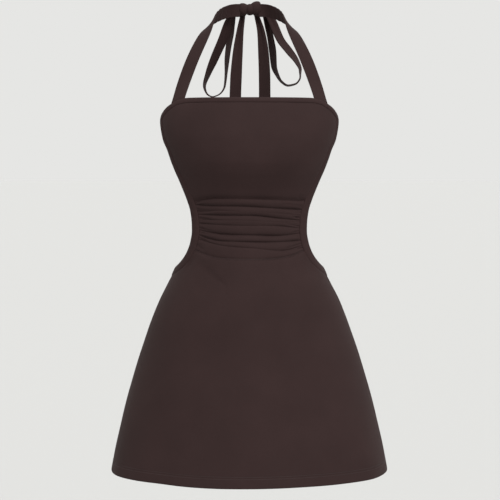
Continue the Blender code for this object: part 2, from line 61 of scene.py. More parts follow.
# The form's sections: height, half width, front depth, back depth.
SECTIONS = (
    (0.650, 0.1400, 0.078, 0.086),
    (0.632, 0.1450, 0.088, 0.092),
    (0.610, 0.1515, 0.102, 0.098),
    (0.590, 0.1530, 0.113, 0.102),
    (0.563, 0.1500, 0.123, 0.104),
    (0.545, 0.1455, 0.125, 0.103),
    (0.528, 0.1415, 0.1235, 0.101),
    (0.511, 0.1368, 0.118, 0.098),
    (0.4945, 0.1320, 0.110, 0.095),
    (0.4775, 0.1275, 0.102, 0.092),
    (0.4605, 0.1235, 0.096, 0.089),
    (0.4435, 0.1205, 0.092, 0.086),
    (0.4125, 0.1185, 0.090, 0.085),
    (0.392, 0.1188, 0.092, 0.087),
    (0.375, 0.1200, 0.095, 0.090),
    (0.363, 0.1215, 0.098, 0.093),
    (0.352, 0.1243, 0.101, 0.096),
    (0.341, 0.1282, 0.105, 0.100),
    (0.324, 0.1364, 0.111, 0.106),
    (0.290, 0.1536, 0.121, 0.117),
    (0.2555, 0.1674, 0.129, 0.126),
    (0.221, 0.1795, 0.136, 0.134),
    (0.187, 0.1908, 0.142, 0.141),
    (0.118, 0.2108, 0.154, 0.153),
    (0.0486, 0.2274, 0.165, 0.164),
    (0.000, 0.2371, 0.172, 0.170),
    (-0.010, 0.2391, 0.1735, 0.1715),
)

# Soft flares of the skirt: angle, spread, how far it stands out at the hem, height where it begins.
FLARES = (
    (-67, 12, 0.0030, 0.26),
    (-39, 9, -0.0040, 0.20),
    (-14, 13, 0.0022, 0.20),
    (22, 12, -0.0022, 0.22),
    (58, 11, 0.0040, 0.24),
    (104, 12, -0.0030, 0.24),
    (130, 13, 0.0045, 0.26),
    (157, 11, -0.0040, 0.24),
    (180, 11, 0.0035, 0.24),
    (205, 11, -0.0040, 0.24),
    (231, 13, 0.0045, 0.26),
    (257, 11, -0.0030, 0.24),
)

# Free edge of the binding where it shows from the front: height, half width, width of the binding.
FRONT_EDGE = (
    (0.6320, 0.0000, 0.0095),
    (0.6320, 0.0360, 0.0095),
    (0.6320, 0.0720, 0.0095),
    (0.6318, 0.1000, 0.0095),
    (0.6290, 0.1180, 0.0095),
    (0.6225, 0.1300, 0.0096),
    (0.6172, 0.1376, 0.0097),
    (0.6100, 0.1443, 0.0099),
    (0.6035, 0.1482, 0.0101),
    (0.5950, 0.1500, 0.0104),
    (0.5824, 0.1490, 0.0108),
    (0.5627, 0.1450, 0.0114),
    (0.5450, 0.1374, 0.0120),
    (0.5280, 0.1315, 0.0126),
    (0.5110, 0.1248, 0.0133),
    (0.4945, 0.1175, 0.0140),
    (0.4775, 0.1105, 0.0147),
    (0.4605, 0.1040, 0.0153),
    (0.4435, 0.0990, 0.0157),
    (0.4265, 0.0968, 0.0160),
    (0.4100, 0.0964, 0.0160),
    (0.3920, 0.0992, 0.0160),
    (0.3750, 0.1052, 0.0160),
    (0.3630, 0.1124, 0.0160),
    (0.3530, 0.1205, 0.0158),
)

# The same edge on round the back: height, angle, width of the binding.
BACK_EDGE = (
    (0.3465, 88, 0.0155),
    (0.3400, 103, 0.0150),
    (0.3340, 122, 0.0150),
    (0.3285, 143, 0.0150),
    (0.3250, 163, 0.0150),
    (0.3240, 180, 0.0150),
)
STRAP_FOOT_INNER = 0.1073
STRAP_FOOT_OUTER = 0.1301
PANEL_CORNER_HEIGHT = 0.6125
NECKLINE_RUN = 0.2
EDGE_SAMPLES = 900

# Gathers of the waist, top to bottom: name, height in millimetres above the waist line at the five places
# across, and depth of the trough in millimetres at the left, middle and right.
GATHER_PLACES = (-1.0, -0.45, 0.0, 0.52, 1.0)
GATHERS = (
    ("under_bust", (47, 53, 52, 50, 48), (3.2, 3.0, 3.2)),
    ("upper", (41, 40, 39, 36, 32.5), (2.8, 2.6, 2.8)),
    ("upper_left_short", (31.5, 32.5, 31.5, 28, 24), (2.4, 0.0, 1.2)),
    ("above_waist", (25, 25, 24.5, 20, 15.5), (3.0, 2.8, 2.6)),
    ("waist_left_short", (18, 17, 16.5, 14, 9), (2.4, 0.3, 1.0)),
    ("waist", (11, 8.7, 8.3, 7, 2.8), (2.6, 1.0, 2.4)),
    ("below_waist", (-0.5, -5.9, -7.3, -8.1, -5.6), (2.6, 3.2, 3.0)),
    ("lower", (-8.1, -17.5, -18.2, -18.8, -17.4), (2.8, 2.8, 2.8)),
    ("lowest", (-15, -25, -28, -33, -25.5), (2.6, 1.4, 2.8)),
    ("over_skirt", (-34, -45, -46.5, -44, -33.5), (2.2, 1.4, 2.2)),
)
GATHER_STEPS = (0.0, 0.03, 0.06, 0.10, 0.16, 0.24, 0.34, 0.46, 0.58, 0.68, 0.77, 0.84, 0.90, 0.94, 0.97)
GATHER_DEPTH = 1.4
TUCK_DEPTH = 2.1 * MM
TUCK_REACH = 1.2 * MM
TUCK_LENGTH = 0.30
CREASE_SHARE = 0.62
CREASE_EASE = 0.4 * MM
CREASE_REACH = 1.1 * MM
PUFF_REACH = 4.4 * MM

# Short folds: name, depth and reach in millimetres, then places along it, in millimetres from the middle
# and above the waist line. A negative depth is a ridge.
SHORT_FOLDS = (
    ("top_right", 1.6, 1.6, ((80, 56), (92, 53))),
    ("faint_right", 0.8, 1.8, ((53, 43), (71, 43))),
    ("small_right", 1.5, 1.5, ((75, 21), (90, 21))),
    ("strong_left", 2.4, 1.7, ((-94, -24), (-75, -32))),
    ("second_right", 1.6, 1.5, ((95, -27), (73, -35))),
    ("drag_left", 2.6, 3.0, ((-96, -38), (-92, -47), (-86, -53), (-73, -63), (-61, -73), (-38, -90))),
    ("drag_left_side", 2.0, 2.6, ((-98, -48), (-101, -64))),
    ("drag_right", 2.0, 3.0, ((93, -37), (88, -56))),
    ("drag_right_soft", 1.4, 4.0, ((105, -41), (102, -78))),
    ("ridge_right", -1.3, 5.0, ((109, -52), (123, -80))),
)

# Straps: half width of the place from the middle, how far behind the side seams, height, lean of the
# strap's width from the crosswise direction towards the back, in degrees.
STRAP_FOOT_LEAN = 38
STRAP_ROUTE = (
    (0.1112, -0.0430, 0.6530, 20),
    (0.0950, -0.0270, 0.6980, 24),
    (0.0819, -0.0120, 0.7280, 30),
    (0.0722, 0.0020, 0.7480, 40),
    (0.0645, 0.0180, 0.7625, 55),
    (0.0560, 0.0370, 0.7730, 70),
    (0.0440, 0.0550, 0.7810, 85),
    (0.0310, 0.0668, 0.7856, 90),
    (0.0240, 0.0696, 0.7863, 90),
    (0.0164, 0.0716, 0.7865, 90),
)
STRAP_FOOT_SHARE = 0.31
STRAP_TUCK = 0.005
STRAP_TUCK_DEPTH = 0.9 * MM
STRAP_COLUMNS = 13
STRAP_STEPS = 96
STRAP_ROUNDING = 0.6 * MM
STRAP_CROWN = 0.35 * MM

# Wrinkles of a strap where it turns over the neck: depth, wave, share of its length, reach, skew in radians.
WRINKLE_DEPTH = 0.45 * MM
WRINKLE_WAVE = 0.0019
WRINKLE_SHARE = 0.80
WRINKLE_REACH = 0.022
WRINKLE_SKEW = 1.3

# Bow loops: x, how far behind the side seams, height, turn of the ribbon from edge-on in degrees, width.
LOOP_LEFT = (
    (-0.0170, 0.0795, 0.7863, 90, 0.0080),
    (-0.0245, 0.0805, 0.7863, 76, 0.0100),
    (-0.0330, 0.0865, 0.7740, 66, 0.0150),
    (-0.0420, 0.0895, 0.7480, 52, 0.0200),
    (-0.0608, 0.0930, 0.7050, 38, 0.0200),
    (-0.0719, 0.0950, 0.6790, 24, 0.0200),
    (-0.0783, 0.0970, 0.6570, 10, 0.0200),
    (-0.0740, 0.0990, 0.6440, 3, 0.0200),
    (-0.0650, 0.1000, 0.6390, 2, 0.0200),
    (-0.0530, 0.1010, 0.6430, 4, 0.0200),
    (-0.0440, 0.1020, 0.6560, 8, 0.0200),
    (-0.0413, 0.1030, 0.6810, 12, 0.0200),
    (-0.0395, 0.1040, 0.7040, 22, 0.0200),
    (-0.0350, 0.1035, 0.7400, 36, 0.0190),
    (-0.0310, 0.1015, 0.7640, 60, 0.0140),
    (-0.0275, 0.0965, 0.7800, 72, 0.0100),
    (-0.0240, 0.0856, 0.7848, 84, 0.0070),
    (-0.0168, 0.0852, 0.7850, 90, 0.0060),
)
LOOP_RIGHT = (
    (0.0168, 0.0795, 0.7884, 90, 0.0080),
    (0.0250, 0.0805, 0.7883, 76, 0.0100),
    (0.0360, 0.0865, 0.7760, 64, 0.0150),
    (0.0555, 0.0910, 0.7360, 42, 0.0200),
    (0.0682, 0.0920, 0.7200, 38, 0.0200),
    (0.0836, 0.0940, 0.6990, 24, 0.0200),
    (0.0893, 0.0955, 0.6850, 14, 0.0200),
    (0.0895, 0.0970, 0.6730, 6, 0.0200),
    (0.0820, 0.0985, 0.6610, 3, 0.0200),
    (0.0680, 0.0995, 0.6578, 3, 0.0200),
    (0.0560, 0.1005, 0.6650, 6, 0.0200),
    (0.0490, 0.1015, 0.6760, 14, 0.0200),
    (0.0428, 0.1025, 0.6920, 26, 0.0200),
    (0.0405, 0.1030, 0.7180, 32, 0.0200),
    (0.0370, 0.1015, 0.7400, 38, 0.0180),
    (0.0320, 0.1010, 0.7640, 58, 0.0140),
    (0.0275, 0.0960, 0.7800, 72, 0.0100),
    (0.0240, 0.0856, 0.7863, 84, 0.0070),
    (0.0168, 0.0852, 0.7865, 90, 0.0060),
)

# Cloth of the tie: columns across it, steps along it, turned edge, and how it pleats, rolls and waves.
TIE_COLUMNS = 17
LOOP_STEPS = 150
TAIL_STEPS = 90
TIE_ROUNDING = 0.5 * MM
TIE_PLEAT = 3.2 * MM
TIE_ROLL = 0.5 * MM
TIE_WAVE = 0.25 * MM
TIE_WAVE_LENGTH = 0.011

# Free ends of the tie: x, how far behind the side seams, height, width.
TAIL_LEFT = (
    (-0.0115, 0.0820, 0.7796, 0.009),
    (-0.0165, 0.0850, 0.7500, 0.013),
    (-0.0208, 0.0870, 0.7100, 0.018),
    (-0.0235, 0.0885, 0.6700, 0.020),
    (-0.0248, 0.0895, 0.6300, 0.020),
    (-0.0255, 0.0900, 0.5700, 0.020),
    (-0.0258, 0.0900, 0.5200, 0.020),
    (-0.0260, 0.0900, 0.4760, 0.020),
)
TAIL_RIGHT = (
    (0.0125, 0.0820, 0.7796, 0.009),
    (0.0205, 0.0850, 0.7500, 0.014),
    (0.0248, 0.0870, 0.7100, 0.019),
    (0.0265, 0.0885, 0.6700, 0.020),
    (0.0268, 0.0895, 0.6300, 0.020),
    (0.0270, 0.0900, 0.5700, 0.020),
    (0.0272, 0.0900, 0.5200, 0.020),
    (0.0272, 0.0900, 0.4640, 0.020),
)

# Wraps of the knot: x, how far behind the side seams, height, radius front to back, radius upwards, half
# width of the cloth, half thickness, tilt in degrees.
KNOT_WRAPS = (
    (-0.0115, 0.0785, 0.7885, 0.0070, 0.0072, 0.0078, 0.0040, 14),
    (0.0130, 0.0785, 0.7900, 0.0078, 0.0086, 0.0086, 0.0042, -16),
    (0.0010, 0.0785, 0.7885, 0.0080, 0.0070, 0.0056, 0.0032, 4),
)
KNOT_GRAIN = 0.0008
WRAP_STEPS = 56

# Hem: fold above the edge, and the two rows of its stitches.
HEM_FOLD = 0.017
HEM_ROWS = (0.0225, 0.0195, 0.0180, 0.0170, 0.0160, 0.0145, 0.0100, 0.0050, 0.0020, 0.0007, 0.0)
HEM_STITCH_HEIGHTS = (0.0152, 0.0188)
STITCH_LENGTH = 0.0027
STITCH_PITCH = 0.0034
STITCH_HALF_WIDTH = 0.28 * MM
STITCH_HALF_THICKNESS = 0.22 * MM
STITCH_PROUD = 0.10 * MM
STITCH_LINE_SAMPLES = 1200

# Grid sizes.
FRONT_COLUMNS = 150
BACK_COLUMNS = 120
EDGE_CROWDING = 1.35
BODICE_STEPS = 50
HIP_STEPS = 14
SKIRT_STEPS = 44
PANEL_TUCK = 0.0016
SIDE_OVERLAP = 0.0007

# Across a binding: share of its width from the free edge, how far that line stands out.
BINDING_SECTION = (
    (0.0, -0.0008),
    (0.05, -0.0001),
    (0.16, 0.0003),
    (0.34, 0.0005),
    (0.5, 0.0006),
    (0.68, 0.0005),
    (0.86, 0.0001),
    (0.96, -0.0006),
    (1.0, -0.0014),
)
BINDING_STEP = 0.0018
BINDING_COLUMNS = 90
BINDING_ROUNDING = 0.7 * MM

# Pucker of the side bindings at the waist.
PUCKER_DEPTH = 0.22 * MM
PUCKER_BELOW_WAIST = 0.002
PUCKER_REACH = 0.052
PUCKER_WAVE = 0.0016

# How far to each side the form is looked at for its slopes: degrees, metres up, metres along the free edge.
SLOPE_TURN = 0.5
SLOPE_RISE = 0.002
EDGE_RUN = 0.003

# Unevenness of the cloth: each wave's direction in radians, and its rate against the main wave.
RIPPLE_WAVES = ((0.4, 1.0), (1.9, 1.37), (3.3, 0.71), (5.1, 1.93))
RIPPLE_PHASE = 1.7
FRONT_RIPPLE = 0.35 * MM
BACK_RIPPLE = 0.45 * MM

# Dip of a panel beside its sewn edges, and how far from them the gathers fade.
SEAM_DIP = 1.5 * MM
SEAM_DIP_REACH = 1.7 * MM
GATHER_FADE = 0.85
GATHER_FADE_REACH = 4.5 * MM


def smooth_through(stations, values):
    """A smooth function through the values at the stations, with no overshoot between them."""
    x = np.asarray(stations, float)
    y = np.asarray(values, float)
    if x[0] > x[-1]:
        x = x[::-1]
        y = y[::-1]
    step = np.diff(x)
    rise = np.diff(y) / step
    slope = np.zeros(len(x))
    slope[0] = rise[0]
    slope[-1] = rise[-1]
    for i in range(1, len(x) - 1):
        if rise[i - 1] * rise[i] > 0:
            weight_a = 2 * step[i] + step[i - 1]
            weight_b = step[i] + 2 * step[i - 1]
            slope[i] = (weight_a + weight_b) / (weight_a / rise[i - 1] + weight_b / rise[i])

    def value(at):
        at = np.clip(at, x[0], x[-1])
        i = np.clip(np.searchsorted(x, at) - 1, 0, len(step) - 1)
        t = (at - x[i]) / step[i]
        near = (1 + 2 * t) * (1 - t) ** 2 * y[i] + t * (1 - t) ** 2 * step[i] * slope[i]
        far = t * t * (3 - 2 * t) * y[i + 1] + t * t * (t - 1) * step[i] * slope[i + 1]
        return near + far

    return value


def column(table, index):
    return [row[index] for row in table]


half_width_at = smooth_through(column(SECTIONS, 0), column(SECTIONS, 1))
front_depth_at = smooth_through(column(SECTIONS, 0), column(SECTIONS, 2))
back_depth_at = smooth_through(column(SECTIONS, 0), column(SECTIONS, 3))


def unit(vectors):
    return vectors / np.linalg.norm(vectors, axis=-1, keepdims=True)


def flare(angle, height):
    """How far the skirt's flutes stand out."""
    total = np.zeros(np.shape(angle))
    for middle, spread, stand_out, begins in FLARES:
        away = (angle - middle + 180) % 360 - 180
        fade = np.clip(1 - height / begins, 0, 1)
        total = total + stand_out * fade ** 1.5 * np.exp(-(away / spread) ** 2)
    return total


def form_point(angle, height):
    """Places on the filled-out form, measured from the side seams' plane and the hem."""
    angle, height = np.broadcast_arrays(np.asarray(angle, float), np.asarray(height, float))
    turn = np.radians(angle)
    sine = np.sin(turn)
    cosine = np.cos(turn)
    depth = np.where(cosine >= 0, front_depth_at(height), back_depth_at(height))
    out = flare(angle, height)
    x = half_width_at(height) * sine + sine * out
    y = -depth * cosine - cosine * out
    return np.stack((x, y, height), axis=-1)


def form_slopes(angle, height):
    """How the form's place changes with one degree and with one metre of height."""
    onward = form_point(angle + SLOPE_TURN, height) - form_point(angle - SLOPE_TURN, height)
    upward = form_point(angle, height + SLOPE_RISE) - form_point(angle, height - SLOPE_RISE)
    return onward / (2 * SLOPE_TURN), upward / (2 * SLOPE_RISE)


def form_normal(angle, height):
    """The outward direction of the form."""
    across, upward = form_slopes(angle, height)
    return unit(np.cross(across, upward))


def place(points):
    """From the side seams' plane and the hem to the nape, the frame's origin."""
    return np.asarray(points) - np.array((0.0, NAPE_BEHIND_SIDES, HOLD_HEIGHT))


def on_form(angle, height, out=0.0):
    """Placed points of the form, moved out by a distance."""
    out = np.broadcast_to(out, np.shape(angle))[..., None]
    return place(form_point(angle, height) + form_normal(angle, height) * out)


def build_edge():
    """The free edge of the binding, from centre front to centre back, by its length."""
    places = []
    for height, half_width, width in FRONT_EDGE:
        angle = math.degrees(math.asin(half_width / float(half_width_at(height))))
        places.append((angle, height, width))
    for height, angle, width in BACK_EDGE:
        places.append((angle, height, width))
    points = form_point(column(places, 0), column(places, 1))
    lengths = np.concatenate(([0.0], np.cumsum(np.linalg.norm(np.diff(points, axis=0), axis=1))))
    return lengths[-1], [smooth_through(lengths, column(places, k)) for k in range(3)]


EDGE_LENGTH, (edge_angle, edge_height, edge_width) = build_edge()


def inside(along, distance):
    """Angles and heights a distance in from the free edge, square to it, on the form."""
    before = np.maximum(along - EDGE_RUN, 0)
    after = np.minimum(along + EDGE_RUN, EDGE_LENGTH)
    start = form_point(edge_angle(before), edge_height(before))
    run = form_point(edge_angle(after), edge_height(after)) - start
    angle = edge_angle(along)
    height = edge_height(along)
    across, upward = form_slopes(angle, height)
    inward = unit(np.cross(run, unit(np.cross(across, upward)))) * np.asarray(distance)[..., None]
    aa = (across * across).sum(-1)
    au = (across * upward).sum(-1)
    uu = (upward * upward).sum(-1)
    ia = (inward * across).sum(-1)
    iu = (inward * upward).sum(-1)
    whole = aa * uu - au * au
    return angle + (ia * uu - iu * au) / whole, height + (iu * aa - ia * au) / whole


samples = np.linspace(0, EDGE_LENGTH, EDGE_SAMPLES)
sample_seam = inside(samples, edge_width(samples) + SEAM_GAP)
sample_reach = form_point(edge_angle(samples), edge_height(samples))[:, 0]
beside_neckline = samples < NECKLINE_RUN


def length_at_seam_height(height):
    """Where the panel's edge passes a height on its way down."""
    return np.interp(-height, np.maximum.accumulate(-sample_seam[1]), samples)


neckline_reach = sample_reach[beside_neckline]
neckline_samples = samples[beside_neckline]
STRAP_FOOT_START = float(np.interp(STRAP_FOOT_INNER, neckline_reach, neckline_samples))
STRAP_FOOT_END = float(np.interp(STRAP_FOOT_OUTER, neckline_reach, neckline_samples))
CORNER = float(np.interp(-PANEL_CORNER_HEIGHT, np.maximum.accumulate(-edge_height(samples)), samples))
HIP_CORNER = float(np.interp(90, np.maximum.accumulate(sample_seam[0]), samples))


def ripple(x, y, seed, length):
    """A soft, uneven wave between -1 and 1."""
    total = 0.0
    for k, (turn, stretch) in enumerate(RIPPLE_WAVES):
        wave = 2 * math.pi * stretch / length
        passed = x * math.cos(turn + seed) + y * math.sin(turn + seed)
        total = total + np.sin(wave * passed + seed * (k + RIPPLE_PHASE))
    return total / len(RIPPLE_WAVES)


def jersey_wall(name, points, wall, material, rounding=0.0):
    """A closed wall of jersey: a grid bent onto rows of points, with its thickness inwards."""
    lines, places = points.shape[:2]
    cloth = bmesh.new()
    bmesh.ops.create_grid(cloth, x_segments=places - 1, y_segments=lines - 1, size=0.5, calc_uvs=False)
    mesh = bpy.data.meshes.new(name)
    cloth.to_mesh(mesh)
    cloth.free()
    flat = np.empty(len(mesh.vertices) * 3)
    mesh.vertices.foreach_get("co", flat)
    flat = flat.reshape(-1, 3)
    across = np.rint((flat[:, 0] + 0.5) * (places - 1)).astype(int)
    down = np.rint((0.5 - flat[:, 1]) * (lines - 1)).astype(int)
    mesh.vertices.foreach_set("co", points[down, across].ravel())
    corner = np.empty(len(mesh.loops), dtype=np.int32)
    mesh.loops.foreach_get("vertex_index", corner)
    cloth_uv = metres_along(points)[down, across][corner]
    layer = mesh.uv_layers.new(name="cloth")
    layer.data.foreach_set("uv", cloth_uv.ravel())
    mesh.update()
    mesh.shade_smooth()
    piece = bpy.data.objects.new(name, mesh)
    bpy.context.scene.collection.objects.link(piece)
    mesh.materials.append(material)
    thickness = piece.modifiers.new("wall", "SOLIDIFY")
    thickness.thickness = wall
    thickness.offset = -1
    if rounding:
        edge = piece.modifiers.new("turned_edge", "BEVEL")
        edge.width = rounding
        edge.segments = 3
        edge.profile = 0.5
        edge.limit_method = "ANGLE"
        edge.angle_limit = math.radians(60)
    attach(piece, "root")
    return piece


def metres_along(points):
    """For each point of a grid, metres across from the middle column and metres down from the top row."""
    steps = np.linalg.norm(np.diff(points, axis=1), axis=2)
    across = np.concatenate((np.zeros((len(points), 1)), np.cumsum(steps, axis=1)), axis=1)
    across -= across[:, across.shape[1] // 2][:, None]
    steps = np.linalg.norm(np.diff(points, axis=0), axis=2).mean(axis=1)
    down = np.concatenate(([0.0], np.cumsum(steps)))
    return np.stack((across, np.broadcast_to(-down[:, None], across.shape)), axis=-1)


def crowded(count):
    """Shares from 0 to 1 that lie closer together towards 1."""
    return 1 - (1 - np.arange(count + 1) / count) ** EDGE_CROWDING


def seam_place(side, along):
    """The panel's edge, tucked under the binding, on one side: angles and heights."""
    angle, height = inside(along, edge_width(along) - PANEL_TUCK)
    return np.stack((side * angle, height), axis=-1)


def blended_patch(top, bottom, left, right, steps):
    """Angles and heights between four edges, each edge a list of places on the form."""
    across = np.linspace(0, 1, len(top))[None, :, None]
    down = np.asarray(steps)[:, None, None]
    ruled = top[None] * (1 - down) + bottom[None] * down
    sides = left[:, None] * (1 - across) + right[:, None] * across
    corners = (top[0] * (1 - across) + top[-1] * across) * (1 - down)
    corners = corners + (bottom[0] * (1 - across) + bottom[-1] * across) * down
    return ruled + sides - corners


def gather_lines():
    """The trough of each gather: its height and depth as functions of the place across the panel."""
    lines = []
    for k, (_, rises, depths) in enumerate(GATHERS):
        height = smooth_through(GATHER_PLACES, [WAIST_HEIGHT + rise * MM for rise in rises])
        depth = smooth_through((-1, 0, 1), [deep * MM for deep in depths])

        def line(across, height=height, k=k):
            return height(across) + 0.25 * MM * np.sin(6.1 * across + 2.3 * k)

        def trough(across, depth=depth, k=k):
            return GATHER_DEPTH * depth(across) * (1 + 0.16 * np.sin(7.7 * across + 1.9 * k))

        lines.append((line, trough))
    return lines


def crease(away):
    """A fold's depth, as a share, at a distance from its trough."""
    soft = np.sqrt(away ** 2 + CREASE_EASE ** 2) - CREASE_EASE
    sharp = CREASE_SHARE * np.exp(-soft / CREASE_REACH)
    puffed = (1 - CREASE_SHARE) * np.exp(-(soft / PUFF_REACH) ** 1.7)
    return sharp + puffed


def gather_relief(across, height):
    """How far the gathers draw the panel in."""
    relief = np.zeros(np.shape(height))
    for line, trough in gather_lines():
        relief -= trough(across) * crease(height - line(across))
    return relief


def tuck_relief(across, height):
    """The short tucks beside the bands, one between each two gathers, running in from the seam."""
    lines = gather_lines()
    relief = np.zeros(np.shape(height))
    for k, ((upper, _), (lower, _)) in enumerate(zip(lines, lines[1:])):
        for side in (-1, 1):
            share = 0.5 + 0.12 * math.sin(2.9 * k + side)
            reach = TUCK_LENGTH * (1 + 0.35 * math.sin(1.7 * k + 2.1 * side))
            inward = np.clip((1 - side * across) / reach, 0, 1)
            toward = share + 0.22 * inward * (1 if k % 2 else -1)
            middle = upper(across) * (1 - toward) + lower(across) * toward
            fade = (1 - inward) ** 0.7 * (side * across > 0)
            deep = TUCK_DEPTH * (1 + 0.3 * math.sin(2.3 * k + 4 * side)) * fade
            away = (height - middle) / TUCK_REACH
            relief -= deep * np.exp(-np.abs(away) ** 1.5)
    return relief


def fold_relief(x, height):
    """How far the short folds draw the panel in."""
    relief = np.zeros(np.shape(height))
    for _, deep, reach, path in SHORT_FOLDS:
        route = [(px * MM, WAIST_HEIGHT + rise * MM) for px, rise in path]
        length = sum(math.dist(a, b) for a, b in zip(route, route[1:]))
        nearest = np.full(np.shape(height), 1.0)
        share = np.zeros(np.shape(height))
        passed = 0.0
        for a, b in zip(route, route[1:]):
            run = math.dist(a, b)
            t = ((x - a[0]) * (b[0] - a[0]) + (height - a[1]) * (b[1] - a[1])) / run ** 2
            t = np.clip(t, 0, 1)
            away = np.hypot(x - a[0] - t * (b[0] - a[0]), height - a[1] - t * (b[1] - a[1]))
            closer = away < nearest
            nearest = np.where(closer, away, nearest)
            share = np.where(closer, (passed + t * run) / length, share)
            passed += run
        taper = np.clip(4 * share * (1 - share), 0, 1) ** 0.6
        relief -= deep * MM * taper * np.exp(-(nearest / (reach * MM)) ** 1.5)
    return relief


def hem_relief(height):
    """The groove of the hem's stitching, the puff under it and the turned edge."""
    groove = -0.30 * MM * np.exp(-((height - HEM_FOLD) / (1.5 * MM)) ** 2)
    puff = 0.25 * MM * np.exp(-((height - 0.008) / 0.005) ** 2)
    turned = -0.6 * MM * np.exp(-height / (0.8 * MM))
    return groove + puff + turned


def from_seams(points):
    """How far each point of a panel is from its sewn edges: all round, but for the hem."""
    outline = np.concatenate((points[0], points[:, 0], points[:, -1]))
    tree = kdtree.KDTree(len(outline))
    for i, p in enumerate(outline):
        tree.insert(p, i)
    tree.balance()
    return np.array([tree.find(p)[2] for p in points.reshape(-1, 3)]).reshape(points.shape[:2])


def seam_dip(away):
    """How far a panel dips at a distance from its sewn edges."""
    return -SEAM_DIP * np.exp(-away / SEAM_DIP_REACH)


def build_front(material):
    """The front panel: bodice, gathered waist and skirt in one piece."""
    half = crowded(FRONT_COLUMNS // 2)
    columns = np.concatenate((-half[:0:-1], half))
    lines = gather_lines()
    neck = CORNER * half
    neckline = np.concatenate((seam_place(-1, neck[:0:-1]), seam_place(1, neck)))

    waist = []
    for (upper, _), (lower, _) in zip(lines, lines[1:]):
        for step in GATHER_STEPS:
            ends = []
            for side in (-1, 1):
                along = length_at_seam_height(upper(side) * (1 - step) + lower(side) * step)
                ends.append(seam_place(side, along)[0])
            angles = ends[0] * (1 - columns) / 2 + ends[1] * (1 + columns) / 2
            waist.append(np.stack((angles, upper(columns) * (1 - step) + lower(columns) * step), axis=-1))
    last = lines[-1][0]
    starts = [float(length_at_seam_height(last(side))) for side in (-1, 1)]
    ends = [seam_place(side, start)[0] for side, start in zip((-1, 1), starts)]
    angles = ends[0] * (1 - columns) / 2 + ends[1] * (1 + columns) / 2
    waist_end = np.stack((angles, last(columns)), axis=-1)

    steps = np.arange(BODICE_STEPS) / BODICE_STEPS
    first = lines[0][0]
    sides = []
    for side in (-1, 1):
        top = length_at_seam_height(first(side))
        sides.append(seam_place(side, CORNER + (top - CORNER) * steps))
    bodice = blended_patch(neckline, waist[0], sides[0], sides[1], steps)

    hip_height = float(sample_seam[1][np.searchsorted(samples, HIP_CORNER)])
    even = np.linspace(hip_height, HEM_ROWS[0], SKIRT_STEPS + 1)[1:-1]
    heights = np.concatenate((even, HEM_ROWS))
    sides = []
    for side, start in zip((-1, 1), starts):
        path = seam_place(side, np.linspace(start, HIP_CORNER, HIP_STEPS + 1))
        down = np.stack((side * side_angle(heights, 1), heights), axis=-1)
        sides.append(np.concatenate((path, down)))
    seam_run = HIP_CORNER - sum(starts) / 2
    whole = seam_run + hip_height
    steps = np.concatenate((
        np.linspace(0, seam_run, HIP_STEPS + 1) / whole,
        (whole - heights) / whole,
    ))
    hem = np.stack((columns * side_angle(0.0, 1), np.zeros(len(columns))), axis=-1)
    skirt = blended_patch(waist_end, hem, sides[0], sides[1], steps)

    grid = np.concatenate((bodice, np.array(waist), skirt))
    limit = side_angle(grid[..., 1], 1)
    angle = np.clip(grid[..., 0], -limit, limit)
    height = grid[..., 1]
    flat = form_point(angle, height)
    across = np.broadcast_to(columns, height.shape)
    away = from_seams(place(flat))
    relief = gather_relief(across, height) + tuck_relief(across, height) + fold_relief(flat[..., 0], height)
    relief = relief * (1 - GATHER_FADE * np.exp(-(away / GATHER_FADE_REACH) ** 1.5))
    relief += hem_relief(height) + seam_dip(away) + FRONT_RIPPLE * ripple(flat[..., 0], height, 1.0, 0.075)
    points = on_form(angle, height, relief)
    panel = jersey_wall("front_panel", points, PANEL_WALL, material)
    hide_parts("front")


def side_angle(height, over):
    """The panel's side edge: a little past the side where over is 1, a little short where it is -1."""
    return 90 + over * np.degrees(SIDE_OVERLAP / front_depth_at(height))


def build_back(material):
    """The back of the skirt, under the open back's binding."""
    half = crowded(BACK_COLUMNS // 2)
    run = EDGE_LENGTH - HIP_CORNER
    right = EDGE_LENGTH - run * half[::-1]
    right_top = seam_place(1, right)
    left_top = right_top[-2::-1].copy()
    left_top[:, 0] = 360 - left_top[:, 0]
    top = np.concatenate((right_top, left_top))
    hem_angles = np.concatenate((180 - 90 * half[::-1], 180 + 90 * half[1:]))
    hip_height = float(top[0][1])
    even = np.linspace(hip_height, HEM_ROWS[0], SKIRT_STEPS + 8)[:-1]
    heights = np.concatenate((even, HEM_ROWS))
    down = (1 - heights / hip_height)[:, None]
    height = top[None, :, 1] * (1 - down)
    angle = top[None, :, 0] * (1 - down) + hem_angles[None] * down
    over = np.degrees(SIDE_OVERLAP / back_depth_at(height))
    angle = np.clip(angle, 90 - over, 270 + over)
    flat = form_point(angle, height)
    relief = hem_relief(height) + seam_dip(from_seams(place(flat)))
    relief += BACK_RIPPLE * ripple(flat[..., 0], height, 2.6, 0.085)
    points = on_form(angle, height, relief)
    panel = jersey_wall("back_panel", points, PANEL_WALL, material)
    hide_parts("back")


def build_side_binding(name, side, lengths, material):
    """The binding from a strap's foot to the centre of the back, rounded across and puckered at the waist."""
    rows = []
    for share, stand in BINDING_SECTION:
        angle, height = inside(lengths, edge_width(lengths) * share)
        pull = np.exp(-((height - WAIST_HEIGHT + PUCKER_BELOW_WAIST) / PUCKER_REACH) ** 4)
        drawn = PUCKER_DEPTH * pull * math.sin(math.pi * share) * np.sin(lengths / PUCKER_WAVE)
        rows.append(on_form(side * angle, height, BINDING_PROUD + stand + drawn))
    piece = jersey_wall(
        "side_binding_" + name, np.array(rows), BINDING_WALL, material, BINDING_ROUNDING,
    )
    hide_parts("side_band_" + name)


